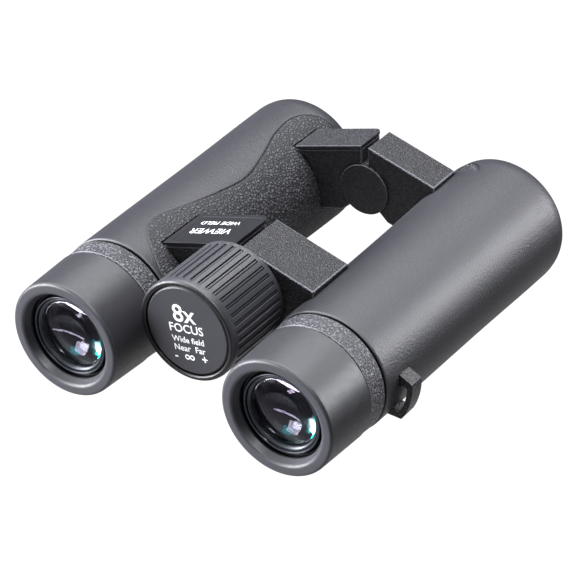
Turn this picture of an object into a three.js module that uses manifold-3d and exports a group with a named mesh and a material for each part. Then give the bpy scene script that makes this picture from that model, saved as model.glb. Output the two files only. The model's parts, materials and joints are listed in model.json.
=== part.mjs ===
// Compact 8x33-class roof-prism binoculars with an open bridge, in millimetres.
//
// Working frame: X to the right, Y from the eyepieces to the objectives, Z up. The eyecup faces
// are at Y = 0 and both optical axes lie in the plane Z = 0. The finished group is moved once, at
// the end, so that the origin is at the bottom centre of the whole. Side is -1 left and +1 right.

import * as THREE from 'three';
import { mergeVertices } from 'three/addons/utils/BufferGeometryUtils.js';
import Module from 'manifold-3d';

const wasm = await Module();
wasm.setup();

// ---------------------------------------------------------------- driving dimensions

const LENGTH = 122.5;                    // eyecup face to objective rim
const AXIS_X = 35.5;                     // half the spacing of the optical axes as it stands
const HINGE_Z = 9.9;                     // hinge axis above the optical axes
const RIM_RADIUS = 20.2;                 // widest radius of a barrel, at the objective end
const GAP = 0.3;                         // running and seating clearance between pieces
const CUT = 0.1;                         // how far a cutter runs past the face that it opens
const OUTER_SIDES = 32;                  // facets round the outside of a barrel
const TUBE_SIDES = 24;                   // facets round the casting under the jacket
const INNER_SIDES = 20;                  // facets round the small pieces inside it

const HINGE_REACH = Math.hypot(AXIS_X, HINGE_Z);      // hinge axis to optical axis
const HINGE_TILT = Math.atan2(HINGE_Z, AXIS_X);       // how far that line leans down

// Barrel casting: a slim prism section behind, a wider objective section in front.
const TUBE = { back: 25.6, front: 119, shoulder: 96.5, bore: 15.4, outer: 17, wideBore: 18, wideOuter: 18.9 };

// Arms of the open bridge, and the hinge between them.
const REAR_BRIDGE = { back: 35, front: 52.6 };
const FRONT_BRIDGE = { back: 100, front: 112 };
const ARM = { inner: 1.1, ridge: 24.1, slope: Math.tan(0.288), under: 0.64, underX: 7.7, underSlope: 0.279 };
const KNUCKLE_RADIUS = 8.2;
const KNUCKLE_CLEARANCE = 8.5;
const REAR_SPLIT = 49.4;                 // front end of the left rear knuckle
const FRONT_SPLIT = 105.8;               // front end of the left front knuckle
const CAVITY = { back: 38.4, front: 48.4, radius: 7 };  // room for the drive nut in the rear knuckle
const BUSH_RADIUS = 4.5;
const PIN_RADIUS = 2.4;

// Cover plates on the left arms.
const PLATE = { thickness: 1.2, seat: 0.25, proud: 0.2 };

// Focus wheel and its screw.
const WHEEL = { front: 9.7, back: 34.5, radius: 15.55, ribBack: 32.6, ribFront: 12.4, ribs: 38, groove: 0.8 };
const HUB = { front: 12.6, back: 33.8, radius: 13.3, bore: 2.8, boss: 5.2, bossBack: 31.5 };
const SPINDLE_RADIUS = 2.5;

// Focusing drive inside the bridge and barrels.
const DRIVE_ARM = { left: 42.3, right: 44.1, thickness: 1.5, half: 1.6, travel: 2.2, ring: 6.5, ringBore: 4.7 };
const DRIVE_ROD = { radius: 0.9, offset: 14, front: 77.8 };

// Eyepiece group.
const EYECUP = { back: 18.3, radius: 17.75, backRadius: 18.4, wall: 3, lip: 13.3, bore: 16.6 };
const TRIM = { back: 18.7, front: 25.15, radius: 18.2, frontRadius: 18.5, bore: 13.95 };
const LENS_RADIUS = 10.7;

// Prism pair: the aperture sets the whole path through both prisms.
const PRISM = { front: 65.6, aperture: 14, half: 7, height: 11.9, airGap: 0.7 };
const CAGE = { back: 48.2, front: 66.2, radius: 15.05 };

// Strap lug, in polar terms about the barrel axis.
const LUG = { back: 32, front: 36.8, foot: 17.35, outer: 22.8, slot: 20.5, slotTop: -3, slotBottom: -22 };

// ---------------------------------------------------------------- materials

const finish = (color, roughness, metalness = 0) =>
  new THREE.MeshStandardMaterial({ color, roughness, metalness });

const RUBBER = finish(0x2f3033, 0.62);
const STIPPLED_PLASTIC = finish(0x35363a, 0.58);
const SATIN_PLASTIC = finish(0x2b2c30, 0.38);
const BLACK_METAL = finish(0x1b1b1d, 0.45, 0.6);
const BRIGHT_STEEL = finish(0xa9adb2, 0.3, 0.9);
const BRASS = finish(0xb08d46, 0.35, 0.9);
const GLASS = finish(0x5f8390, 0.04);

// ---------------------------------------------------------------- solid helpers

// A closed mesh as a solid, ready to be joined and cut.
function toSolid(geometry) {
  const bare = geometry.clone();
  bare.deleteAttribute('normal');
  bare.deleteAttribute('uv');
  const merged = mergeVertices(bare, 1e-4);
  const index = merged.index.array;
  const triVerts = [];
  for (let i = 0; i < index.length; i += 3) {
    const [a, b, c] = [index[i], index[i + 1], index[i + 2]];
    if (a !== b && b !== c && c !== a) triVerts.push(a, b, c);
  }
  return new wasm.Manifold(new wasm.Mesh({
    numProp: 3,
    vertProperties: new Float32Array(merged.attributes.position.array),
    triVerts: new Uint32Array(triVerts),
  }));
}

// A solid as a mesh geometry again.
function toGeometry(solid) {
  const mesh = solid.getMesh();
  const geometry = new THREE.BufferGeometry();
  geometry.setAttribute('position', new THREE.BufferAttribute(new Float32Array(mesh.vertProperties), 3));
  geometry.setIndex(new THREE.BufferAttribute(new Uint32Array(mesh.triVerts), 1));
  geometry.computeVertexNormals();
  return geometry;
}

const join = (...solids) => solids.reduce((whole, piece) => whole.add(piece));
const cut = (solid, ...cutters) => cutters.reduce((rest, cutter) => rest.subtract(cutter), solid);

// A turned piece round the Y axis at (x, z). The profile is a list of [radius, y], anticlockwise
// with the radius to the right. A solid piece starts and ends on the axis.
function turned(profile, x = 0, z = 0, sides = INNER_SIDES) {
  const points = profile.map(([radius, y]) => new THREE.Vector2(radius, y));
  return toSolid(new THREE.LatheGeometry(points, sides).translate(x, 0, z));
}

// A turned piece with a hole through it: the same profile, closed on itself.
function hollow(profile, x = 0, z = 0, sides = INNER_SIDES) {
  return turned([...profile, profile[0]], x, z, sides);
}

// A straight round bar along Y, and a plain tube along Y.
function bar(radius, y0, y1, x = 0, z = 0, sides = INNER_SIDES) {
  return turned([[0, y0], [radius, y0], [radius, y1], [0, y1]], x, z, sides);
}

function sleeve(bore, radius, y0, y1, x = 0, z = 0, sides = INNER_SIDES) {
  return hollow([[bore, y0], [radius, y0], [radius, y1], [bore, y1]], x, z, sides);
}

// An outline in X and Z, run along Y from y0 to y1.
function along(outline, y0, y1) {
  const shape = new THREE.Shape(outline.map(([x, z]) => new THREE.Vector2(x, z)));
  const geometry = new THREE.ExtrudeGeometry(shape, { depth: y1 - y0, bevelEnabled: false });
  return toSolid(geometry.rotateX(Math.PI / 2).translate(0, y1, 0));
}

// A point at a radius and an angle in degrees, measured from the outward side of a barrel.
function polar(radius, degrees) {
  const angle = THREE.MathUtils.degToRad(degrees);
  return [radius * Math.cos(angle), radius * Math.sin(angle)];
}

function arc(radius, from, to, steps) {
  return Array.from({ length: steps + 1 }, (_, i) => polar(radius, from + (to - from) * i / steps));
}

// A box along the line from the hinge axis to one optical axis, between two distances on it.
function alongArm(side, s0, s1, y0, y1, half) {
  const box = new THREE.BoxGeometry(s1 - s0, y1 - y0, 2 * half);
  box.translate((s0 + s1) / 2, (y0 + y1) / 2, 0);
  box.rotateY(side > 0 ? HINGE_TILT : Math.PI - HINGE_TILT);
  return toSolid(box.translate(0, 0, HINGE_Z));
}

// Half a lens face: points from the edge to the axis, or back, on a shallow curve.
function lensFace(radius, edge, vertex, outward) {
  const steps = [1, 0.5, 0].map((t) => [radius * t, vertex + (edge - vertex) * t * t]);
  return outward ? steps.reverse() : steps;
}

function lens(radius, back, front, x, sides = INNER_SIDES) {
  const profile = [...lensFace(radius, back.edge, back.vertex, true), ...lensFace(radius, front.edge, front.vertex, false)];
  return turned(profile, x, 0, sides);
}

// ---------------------------------------------------------------- bridge arms

// Height of the sloping top of an arm at a distance from the middle.
const armTop = (x, lift) => ARM.ridge + lift - (x - ARM.inner) * ARM.slope;
const armUnder = (x, lift) => ARM.under - lift - (x - ARM.underX) * ARM.underSlope;

// One arm as a slab from the middle to inside the barrel wall; grow thickens it for cutting.
function armSlab(side, y0, y1, drop = 0, grow = 0) {
  const [farTop, farUnder] = [30.5, 20];
  const outline = [
    [ARM.inner, armTop(ARM.inner, grow - drop)],
    [farTop, armTop(farTop, grow - drop)],
    [farUnder, armUnder(farUnder, grow)],
    [ARM.underX, armUnder(ARM.underX, grow)],
    [4.9, 3.3 - grow],
    [ARM.inner, 3.3 - grow],
  ];
  return along(outline.map(([x, z]) => [side * x, z]), y0 - grow, y1 + grow);
}

// Where a plane parallel to the arm's top, lifted from it, meets a circle round the barrel axis.
function reach(lift, radius) {
  const level = armTop(0, lift);
  const a = 1 + ARM.slope ** 2;
  const b = AXIS_X + level * ARM.slope;
  const c = AXIS_X ** 2 + level ** 2 - radius ** 2;
  return (b - Math.sqrt(b * b - a * c)) / a;
}

// A thin cover on a left arm. It stops short of the barrel that it runs up to.
function coverPlate(y0, y1, barrelRadius) {
  const low = PLATE.proud - PLATE.thickness;
  const stop = barrelRadius + GAP;
  const ends = [[ARM.inner, PLATE.proud], [reach(PLATE.proud, stop), PLATE.proud],
    [reach(low, stop), low], [ARM.inner, low]];
  return along(ends.map(([x, lift]) => [-x, armTop(x, lift)]), y0, y1);
}

// ---------------------------------------------------------------- barrel pieces

// Tube, rear arm and front arm in one casting. The left one carries the rear knuckle that holds
// the drive nut; the right one turns on it.
function barrelCasting(side) {
  const x = side * AXIS_X;
  const tube = turned([[0, TUBE.back], [TUBE.outer, TUBE.back], [TUBE.outer, TUBE.shoulder],
    [TUBE.wideOuter, TUBE.shoulder + 1], [TUBE.wideOuter, TUBE.front], [0, TUBE.front]], x, 0, TUBE_SIDES);
  const bore = turned([[0, TUBE.back - CUT], [TUBE.bore, TUBE.back - CUT], [TUBE.bore, TUBE.shoulder + 1.1],
    [TUBE.wideBore, TUBE.shoulder + 2.1], [TUBE.wideBore, TUBE.front + CUT], [0, TUBE.front + CUT]],
  x, 0, TUBE_SIDES);
  const drop = side < 0 ? PLATE.thickness + PLATE.seat - PLATE.proud : 0;
  const arms = [REAR_BRIDGE, FRONT_BRIDGE].map(({ back, front }) => armSlab(side, back, front, drop));
  const hinge = side < 0 ? leftHinge() : rightHinge();
  const blank = cut(join(tube, ...arms), ...hinge.clearances);
  return cut(join(blank, ...hinge.knuckles), bore, ...hinge.bores, ...driveChannels(side));
}

function leftHinge() {
  const discSeat = bar(KNUCKLE_RADIUS + GAP, FRONT_BRIDGE.back - CUT, FRONT_BRIDGE.back + 1, 0, HINGE_Z, OUTER_SIDES);
  return {
    clearances: [
      bar(KNUCKLE_CLEARANCE, REAR_SPLIT, REAR_BRIDGE.front + CUT, 0, HINGE_Z, OUTER_SIDES),
      bar(KNUCKLE_CLEARANCE, FRONT_SPLIT, FRONT_BRIDGE.front + CUT, 0, HINGE_Z, OUTER_SIDES),
      discSeat,
    ],
    knuckles: [
      bar(KNUCKLE_RADIUS, REAR_BRIDGE.back, REAR_SPLIT, 0, HINGE_Z, OUTER_SIDES),
      bar(KNUCKLE_RADIUS, FRONT_BRIDGE.back + 1, FRONT_SPLIT, 0, HINGE_Z, OUTER_SIDES),
    ],
    bores: [
      bar(SPINDLE_RADIUS + GAP, REAR_BRIDGE.back - CUT, CAVITY.back + CUT, 0, HINGE_Z),
      bar(CAVITY.radius, CAVITY.back, CAVITY.front, 0, HINGE_Z),
      bar(BUSH_RADIUS + GAP, CAVITY.front - CUT, REAR_SPLIT + CUT, 0, HINGE_Z),
      bar(PIN_RADIUS + GAP, FRONT_BRIDGE.back, FRONT_SPLIT + CUT, 0, HINGE_Z),
      driveWindow(),
    ],
  };
}

function rightHinge() {
  return {
    clearances: [
      bar(KNUCKLE_CLEARANCE, REAR_BRIDGE.back - CUT, REAR_SPLIT + GAP, 0, HINGE_Z, OUTER_SIDES),
      bar(KNUCKLE_CLEARANCE, FRONT_BRIDGE.back - CUT, FRONT_SPLIT + GAP, 0, HINGE_Z, OUTER_SIDES),
    ],
    knuckles: [
      bar(KNUCKLE_RADIUS, REAR_SPLIT + GAP, REAR_BRIDGE.front, 0, HINGE_Z, OUTER_SIDES),
      bar(KNUCKLE_RADIUS, FRONT_SPLIT + GAP, FRONT_BRIDGE.front, 0, HINGE_Z, OUTER_SIDES),
    ],
    bores: [
      bar(BUSH_RADIUS + GAP, REAR_SPLIT, REAR_BRIDGE.front + CUT, 0, HINGE_Z),
      bar(PIN_RADIUS + GAP, FRONT_SPLIT, FRONT_BRIDGE.front + CUT, 0, HINGE_Z),
    ],
  };
}

// The slot along an arm that its drive arm slides in, from the hinge into the barrel.
function driveChannels(side) {
  const back = side < 0 ? DRIVE_ARM.left : DRIVE_ARM.right;
  const slack = DRIVE_ARM.travel + GAP;
  const start = side < 0 ? CAVITY.radius - 1 : KNUCKLE_RADIUS;
  const end = HINGE_REACH - TUBE.bore + 2;
  return [alongArm(side, start, end, back - slack, back + DRIVE_ARM.thickness + slack, DRIVE_ARM.half + 0.4)];
}

// The window in the left rear knuckle that the right drive arm swings through as the halves fold.
function driveWindow() {
  const slack = DRIVE_ARM.travel + GAP;
  const [top, bottom] = [8, -90];
  const outline = [[0, 0], ...arc(KNUCKLE_RADIUS + 1, bottom, top, 8)];
  return along(outline.map(([x, z]) => [x, z + HINGE_Z]),
    DRIVE_ARM.right - slack, DRIVE_ARM.right + DRIVE_ARM.thickness + slack);
}

// Rubber jacket over the tube, with openings for both arms and for the feet of the strap lug.
function barrelArmour(side) {
  const profile = [
    [17.25, 25.5], [18.75, 25.5], [19.1, 50], [19.5, 81], [20.05, 106], [RIM_RADIUS, 117],
    [20.05, 119.5], [19.4, 121.6], [18.3, LENGTH], [17, LENGTH], [17, TUBE.front + GAP],
    [19.2, TUBE.front + GAP], [19.2, TUBE.shoulder + 0.75], [17.25, TUBE.shoulder - 0.3],
  ];
  const jacket = hollow(profile, side * AXIS_X, 0, OUTER_SIDES);
  const arms = [REAR_BRIDGE, FRONT_BRIDGE].map(({ back, front }) => armSlab(side, back, front, 0, GAP));
  return cut(jacket, ...arms, strapLug(side, GAP));
}

// Strap lug: two feet and a bowed bar. With grow it is the hole that the jacket needs.
function strapLug(side, grow = 0) {
  const spread = THREE.MathUtils.radToDeg(grow / LUG.foot);
  const outer = LUG.outer + grow;
  const outline = [
    [17.1, 3.05 + grow], [19.4, 2.12 + grow], [22.6, 0.4 + grow], ...arc(outer, -1 + spread, -27, 4),
    [19.2 + grow, -11.9 - grow], [13, -11.55 - grow], ...arc(LUG.foot - grow, -41.6 - spread, 11 + spread, 7),
  ];
  const slot = [
    ...arc(LUG.slot - grow, LUG.slotTop - spread, LUG.slotBottom + spread, 3),
    ...arc(LUG.foot - grow - 1, LUG.slotBottom + spread, LUG.slotTop - spread, 3),
  ];
  const place = ([x, z]) => [side * (AXIS_X + x), z];
  const body = along(outline.map(place), LUG.back - grow, LUG.front + grow);
  return cut(body, along(slot.map(place), LUG.back - grow - CUT, LUG.front + grow + CUT));
}

// ---------------------------------------------------------------- objective

function objectiveCell(x) {
  const profile = [[15.7, 104.2], [17.7, 104.2], [17.7, 115.2], [17.15, 115.2], [17.15, 105.6], [15.7, 105.6]];
  return hollow(profile, x, 0, TUBE_SIDES);
}

const objectiveCrown = (x) =>
  lens(16.9, { edge: 109.2, vertex: 107.7 }, { edge: 112.8, vertex: 115 }, x, TUBE_SIDES);

const objectiveFlint = (x) =>
  lens(16.9, { edge: 106.1, vertex: 105.7 }, { edge: 108.9, vertex: 107.4 }, x, TUBE_SIDES);

function objectiveRetainer(x) {
  const profile = [[16.4, 115.5], [17.7, 115.5], [17.7, 118.8], [16.7, 118.8], [16.4, 118.5]];
  const ring = hollow(profile, x, 0, TUBE_SIDES);
  const slots = [-1, 1].map((end) => toSolid(new THREE.BoxGeometry(2, 1.4, 1.6).translate(x + end * 16.9, 118.8, 0)));
  return cut(ring, ...slots);
}

// ---------------------------------------------------------------- focusing drive

function focusLens(x) {
  return lens(11.8, { edge: 79.4, vertex: 80.4 }, { edge: 83, vertex: 82.4 }, x);
}

function focusCarrier(x) {
  return hollow([[11.2, 78.1], [14.9, 78.1], [14.9, 84.4], [12.1, 84.4], [12.1, 79.1], [11.2, 79.1]], x);
}

// A ring round the drive nut, an arm out to the barrel and a rod forward to the lens carrier.
function focusArm(side) {
  const back = side < 0 ? DRIVE_ARM.left : DRIVE_ARM.right;
  const front = back + DRIVE_ARM.thickness;
  const rodX = side * (HINGE_REACH - DRIVE_ROD.offset) * Math.cos(HINGE_TILT);
  const rodZ = HINGE_Z - (HINGE_REACH - DRIVE_ROD.offset) * Math.sin(HINGE_TILT);
  const ring = bar(DRIVE_ARM.ring, back, front, 0, HINGE_Z);
  const arm = alongArm(side, 3, HINGE_REACH - DRIVE_ROD.offset + 1.2, back, front, DRIVE_ARM.half);
  const rod = bar(DRIVE_ROD.radius, back, DRIVE_ROD.front, rodX, rodZ, 12);
  return cut(join(ring, arm, rod), bar(DRIVE_ARM.ringBore, back - CUT, front + CUT, 0, HINGE_Z));
}

function driveNut() {
  const profile = [[2.8, 41], [6.4, 41], [6.4, 42], [4.4, 42], [4.4, 45.9], [2.8, 45.9]];
  return hollow(profile, 0, HINGE_Z);
}

// Focusing screw: the wheel sits on its back end, and its coarse thread drives the nut.
function focusSpindle() {
  const threads = [];
  const [threadBack, threadFront, pitch, depth] = [37.5, 48, 2.2, 0.5];
  for (let y = threadBack; y < threadFront; y += pitch) {
    threads.push([SPINDLE_RADIUS, y], [SPINDLE_RADIUS - depth, y + pitch / 2]);
  }
  const profile = [[0, 18.4], [1.5, 18.4], [1.5, 12.9], [SPINDLE_RADIUS, 12.9], [SPINDLE_RADIUS, 31.8],
    [6, 31.8], [6, 33.6], [SPINDLE_RADIUS, 33.6], ...threads, [SPINDLE_RADIUS, 50.4], [0, 50.4]];
  return turned(profile, 0, HINGE_Z, 12);
}

// ---------------------------------------------------------------- focus wheel

// Ribbed rubber tyre: plain bands at both ends, and evenly spaced grooves between them.
function wheelGrip() {
  const profile = [[13.9, 10], [14.3, WHEEL.front], [14.9, WHEEL.front], [15.4, 10.1], [WHEEL.radius, 10.7],
    [WHEEL.radius, 34], [15.1, WHEEL.back], [13.6, WHEEL.back], [13.6, 12.3], [13.9, 12.3]];
  const tyre = hollow(profile, 0, HINGE_Z, WHEEL.ribs);
  const turn = 2 * Math.PI / WHEEL.ribs;
  const grooves = Array.from({ length: WHEEL.ribs }, (_, i) => {
    const groove = new THREE.BoxGeometry(0.95, WHEEL.ribBack - WHEEL.ribFront, 2 * WHEEL.groove);
    groove.translate(0, (WHEEL.ribBack + WHEEL.ribFront) / 2, WHEEL.radius).rotateY((i + 0.25) * turn);
    return toSolid(groove.translate(0, 0, HINGE_Z));
  });
  return cut(tyre, ...grooves);
}

function wheelHub() {
  return hollow([[HUB.bore, HUB.front], [HUB.radius, HUB.front], [HUB.radius, HUB.back], [11.6, HUB.back],
    [11.6, 16.2], [HUB.boss, 16.2], [HUB.boss, HUB.bossBack], [HUB.bore, HUB.bossBack]], 0, HINGE_Z, OUTER_SIDES);
}

function wheelCap() {
  return turned([[0, 10], [13.2, 10], [13.6, 10.3], [13.6, 11.2], [0, 11.2]], 0, HINGE_Z, OUTER_SIDES);
}

function wheelScrew() {
  return turned([[0, 11.5], [4.2, 11.5], [4.2, 12.3], [1.2, 12.3], [1.2, 17], [0, 17]], 0, HINGE_Z, 12);
}

// ---------------------------------------------------------------- prisms

// Both prisms share one path: in through the front face, out through the back one. An outline
// point is [distance travelled from the front face, height above the optical axis].
function prismBlock(outline, half) {
  const shape = new THREE.Shape(outline.map(([p, q]) => new THREE.Vector2(PRISM.front - p, q)));
  const geometry = new THREE.ExtrudeGeometry(shape, { depth: 2 * half, bevelEnabled: false });
  geometry.translate(0, 0, -half);
  const [yAxis, zAxis, xAxis] = [new THREE.Vector3(0, 1, 0), new THREE.Vector3(0, 0, 1), new THREE.Vector3(1, 0, 0)];
  return geometry.applyMatrix4(new THREE.Matrix4().makeBasis(yAxis, zAxis, xAxis));
}

const PRISM_DEPTH = PRISM.aperture * (1 + Math.SQRT2) / 2;
const MIRROR_SLOPE = Math.tan(Math.PI / 8);

// Leans a prism or its cage so that its flat side faces the hinge, and moves it to its barrel.
const lean = (geometry, side) => geometry.rotateY(side * HINGE_TILT).translate(side * AXIS_X, 0, 0);

function halfPrism(side) {
  const a = PRISM.aperture / 2;
  const back = PRISM_DEPTH - GAP;
  const mirrorEnd = (PRISM.height - a) / MIRROR_SLOPE;
  const outline = [[0, -a], [back, back - a], [back, PRISM.height], [mirrorEnd, PRISM.height], [0, a]];
  return toSolid(lean(prismBlock(outline, PRISM.half), side));
}

function roofPrism(side) {
  const a = PRISM.aperture / 2;
  const apex = PRISM_DEPTH - PRISM.airGap - a;
  const ridgeAt = (p) => (1 + Math.SQRT1_2) * PRISM.aperture - 2 * PRISM_DEPTH - MIRROR_SLOPE * (p - a);
  const foot = (ridgeAt(0) + PRISM.airGap + a) / (1 + MIRROR_SLOPE);
  const cutoff = (ridgeAt(0) + PRISM.height) / MIRROR_SLOPE;
  const outline = [[foot, ridgeAt(foot)], [cutoff, -PRISM.height], [PRISM_DEPTH, -PRISM.height], [PRISM_DEPTH, apex]];
  const ridge = new THREE.Vector3(0, PRISM.front - a, ridgeAt(a));
  const ridgeLine = new THREE.Vector3(0, -Math.cos(Math.PI / 8), -Math.sin(Math.PI / 8));
  const outward = new THREE.Vector3(0, Math.sin(Math.PI / 8), -Math.cos(Math.PI / 8));
  const flanks = [-1, 1].map((flank) => {
    const normal = outward.clone().add(new THREE.Vector3(flank, 0, 0)).normalize();
    const box = new THREE.BoxGeometry(60, 20, 30).translate(0, 10, 0);
    box.applyMatrix4(new THREE.Matrix4().makeBasis(ridgeLine, normal, ridgeLine.clone().cross(normal)));
    return toSolid(lean(box.translate(ridge.x, ridge.y, ridge.z), side));
  });
  return cut(toSolid(lean(prismBlock(outline, PRISM.half), side)), ...flanks);
}

// Cage: a round block with a through pocket for the prisms and a channel for the drive rod.
function prismCage(side) {
  const { back, front, radius } = CAGE;
  const block = new THREE.CylinderGeometry(radius, radius, front - back, INNER_SIDES);
  const pocket = new THREE.BoxGeometry(2 * (PRISM.half + GAP), front - back + 2, 2 * (PRISM.height + GAP));
  const channel = new THREE.CylinderGeometry(1.5, 1.5, front - back + 2, 12).translate(-side * DRIVE_ROD.offset, 0, 0);
  const [body, ...holes] = [block, pocket, channel].map((geometry) =>
    toSolid(lean(geometry.translate(0, (back + front) / 2, 0), side)));
  return cut(body, ...holes);
}

// ---------------------------------------------------------------- eyepiece

// Fixed tube that screws into the back of the barrel and carries everything behind it.
function eyepieceTube(x) {
  return hollow([[12.6, 3.6], [13.6, 3.6], [13.6, 26], [15.1, 26], [15.1, 31.2], [12.6, 31.2]], x);
}

function ocularCell(x) {
  return hollow([[11, 4.5], [12.3, 4.5], [12.3, 24.4], [11, 24.4], [11, 13.2], [9.7, 13.2], [9.7, 9.4], [11, 9.4]], x);
}

function ocularBezel(x) {
  return hollow([[11, 3], [11.6, 2.5], [12.2, 2.9], [12.2, 4.2], [10.4, 4.2], [10.4, 3.3]], x);
}

const eyeLens = (x) => lens(LENS_RADIUS, { edge: 4.7, vertex: 3.9 }, { edge: 7, vertex: 8.8 }, x);
const fieldLens = (x) => lens(LENS_RADIUS, { edge: 15, vertex: 13.6 }, { edge: 17.4, vertex: 18.8 }, x);
const fieldStop = (x) => sleeve(8.2, LENS_RADIUS, 22.3, 23, x);
const camSleeve = (x) => sleeve(13.9, 14.85, 4.4, EYECUP.back, x);
const eyecupCore = (x) => sleeve(15.2, 16.3, 3.3, 16.8, x);

// Soft cup: rounded outer edge, flat face and a funnel in to the lip.
function eyecupRubber(x) {
  return hollow([[15.6, 0], [17, 0], [17.5, 0.3], [EYECUP.radius, 0.9], [EYECUP.backRadius, EYECUP.back],
    [EYECUP.bore, EYECUP.back], [EYECUP.bore, EYECUP.wall], [EYECUP.lip, EYECUP.wall], [EYECUP.lip, 2.5],
    [15.2, 0.3]], x, 0, OUTER_SIDES);
}

function trimRing(x) {
  return hollow([[TRIM.bore, TRIM.back], [TRIM.radius - 0.25, TRIM.back], [TRIM.radius, TRIM.back + 0.25],
    [TRIM.frontRadius, TRIM.front - 0.25], [TRIM.frontRadius - 0.25, TRIM.front], [TRIM.bore, TRIM.front]],
  x, 0, OUTER_SIDES);
}

// ---------------------------------------------------------------- assembly

const binoculars = new THREE.Group();
binoculars.position.set(0, -LENGTH / 2, RIM_RADIUS);

function add(name, solid, material) {
  const mesh = new THREE.Mesh(toGeometry(solid), material);
  mesh.name = name;
  binoculars.add(mesh);
}

for (const [name, side] of [['left', -1], ['right', 1]]) {
  const x = side * AXIS_X;
  add(`${name}_barrel_casting`, barrelCasting(side), STIPPLED_PLASTIC);
  add(`${name}_barrel_armour`, barrelArmour(side), RUBBER);
  add(`${name}_strap_lug`, strapLug(side), STIPPLED_PLASTIC);
  add(`${name}_objective_cell`, objectiveCell(x), BLACK_METAL);
  add(`${name}_objective_crown_lens`, objectiveCrown(x), GLASS);
  add(`${name}_objective_flint_lens`, objectiveFlint(x), GLASS);
  add(`${name}_objective_retaining_ring`, objectiveRetainer(x), BLACK_METAL);
  add(`${name}_focus_lens`, focusLens(x), GLASS);
  add(`${name}_focus_lens_carrier`, focusCarrier(x), BLACK_METAL);
  add(`${name}_focus_arm`, focusArm(side), BRIGHT_STEEL);
  add(`${name}_prism_cage`, prismCage(side), BLACK_METAL);
  add(`${name}_half_prism`, halfPrism(side), GLASS);
  add(`${name}_roof_prism`, roofPrism(side), GLASS);
  add(`${name}_eyepiece_tube`, eyepieceTube(x), BLACK_METAL);
  add(`${name}_ocular_cell`, ocularCell(x), BLACK_METAL);
  add(`${name}_ocular_bezel`, ocularBezel(x), BLACK_METAL);
  add(`${name}_eye_lens`, eyeLens(x), GLASS);
  add(`${name}_field_lens`, fieldLens(x), GLASS);
  add(`${name}_field_stop`, fieldStop(x), BLACK_METAL);
  add(`${name}_eyecup_cam_sleeve`, camSleeve(x), SATIN_PLASTIC);
  add(`${name}_eyecup_core`, eyecupCore(x), BLACK_METAL);
  add(`${name}_eyecup_rubber`, eyecupRubber(x), RUBBER);
}
add('left_trim_ring', trimRing(-AXIS_X), STIPPLED_PLASTIC);
add('right_dioptre_ring', trimRing(AXIS_X), STIPPLED_PLASTIC);

add('focus_wheel_grip', wheelGrip(), RUBBER);
add('focus_wheel_hub', wheelHub(), BLACK_METAL);
add('focus_wheel_cap', wheelCap(), SATIN_PLASTIC);
add('focus_wheel_screw', wheelScrew(), BRIGHT_STEEL);
add('focus_spindle', focusSpindle(), BRIGHT_STEEL);
add('focus_wheel_washer', sleeve(3, 7.5, 33.9, 34.7, 0, HINGE_Z), BRASS);
add('focus_drive_nut', driveNut(), BRASS);
add('rear_hinge_bush', turned([[0, 51.4], [3, 51.4], [3, 48.5], [BUSH_RADIUS, 48.5], [BUSH_RADIUS, 52.4], [0, 52.4]],
  0, HINGE_Z), BRASS);
add('front_hinge_pin', turned([[0, 101.2], [PIN_RADIUS, 101.2], [PIN_RADIUS, 112.3], [4, 112.3], [4, 113], [3.7, 113.3],
  [0, 113.3]], 0, HINGE_Z), BRIGHT_STEEL);
add('front_hinge_disc', turned([[0, 99.3], [7.9, 99.3], [KNUCKLE_RADIUS, 99.6], [KNUCKLE_RADIUS, 100.7], [0, 100.7]],
  0, HINGE_Z, OUTER_SIDES), STIPPLED_PLASTIC);
add('name_plate', coverPlate(34.85, 53.1, 19.15), SATIN_PLASTIC);
add('front_cover_plate', coverPlate(99.75, 112.3, 20.13), SATIN_PLASTIC);

export default binoculars;
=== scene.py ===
"""Looks of compact open-bridge binoculars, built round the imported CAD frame.

Lengths are millimetres in the part's working frame: X to the right, Y from the eyecup faces to
the objectives, and both optical axes in the plane Z = 0. row() turns such a point into metres in
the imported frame. Side is -1 for the left half and +1 for the right.
"""

import json
import math

import bmesh
import bpy
import numpy as np
from mathutils import Matrix, Vector


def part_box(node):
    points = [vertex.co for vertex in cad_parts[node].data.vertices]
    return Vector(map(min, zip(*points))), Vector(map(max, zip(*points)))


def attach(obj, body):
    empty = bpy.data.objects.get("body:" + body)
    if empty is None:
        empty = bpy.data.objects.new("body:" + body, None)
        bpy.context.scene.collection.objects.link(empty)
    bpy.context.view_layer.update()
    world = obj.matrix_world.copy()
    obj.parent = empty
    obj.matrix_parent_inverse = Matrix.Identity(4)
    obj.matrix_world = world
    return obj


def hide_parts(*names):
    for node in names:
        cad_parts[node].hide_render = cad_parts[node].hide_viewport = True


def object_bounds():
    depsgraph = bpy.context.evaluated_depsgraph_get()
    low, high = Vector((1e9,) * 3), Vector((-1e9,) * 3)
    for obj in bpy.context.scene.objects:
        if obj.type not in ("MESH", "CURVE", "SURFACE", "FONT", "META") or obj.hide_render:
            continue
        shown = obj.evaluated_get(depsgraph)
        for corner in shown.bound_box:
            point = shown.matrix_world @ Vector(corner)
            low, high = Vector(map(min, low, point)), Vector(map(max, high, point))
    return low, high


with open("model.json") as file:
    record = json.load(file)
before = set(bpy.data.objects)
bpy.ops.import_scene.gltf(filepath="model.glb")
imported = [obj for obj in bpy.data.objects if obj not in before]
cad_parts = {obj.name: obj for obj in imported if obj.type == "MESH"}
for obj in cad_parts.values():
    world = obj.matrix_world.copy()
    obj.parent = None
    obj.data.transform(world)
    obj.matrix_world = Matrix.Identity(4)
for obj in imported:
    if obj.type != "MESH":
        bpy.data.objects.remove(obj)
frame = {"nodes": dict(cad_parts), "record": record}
cad_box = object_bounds()

# ---- places, taken from the frame

MM = 0.001


def middle(node):
    low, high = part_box(node)
    return (low + high) / 2


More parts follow.
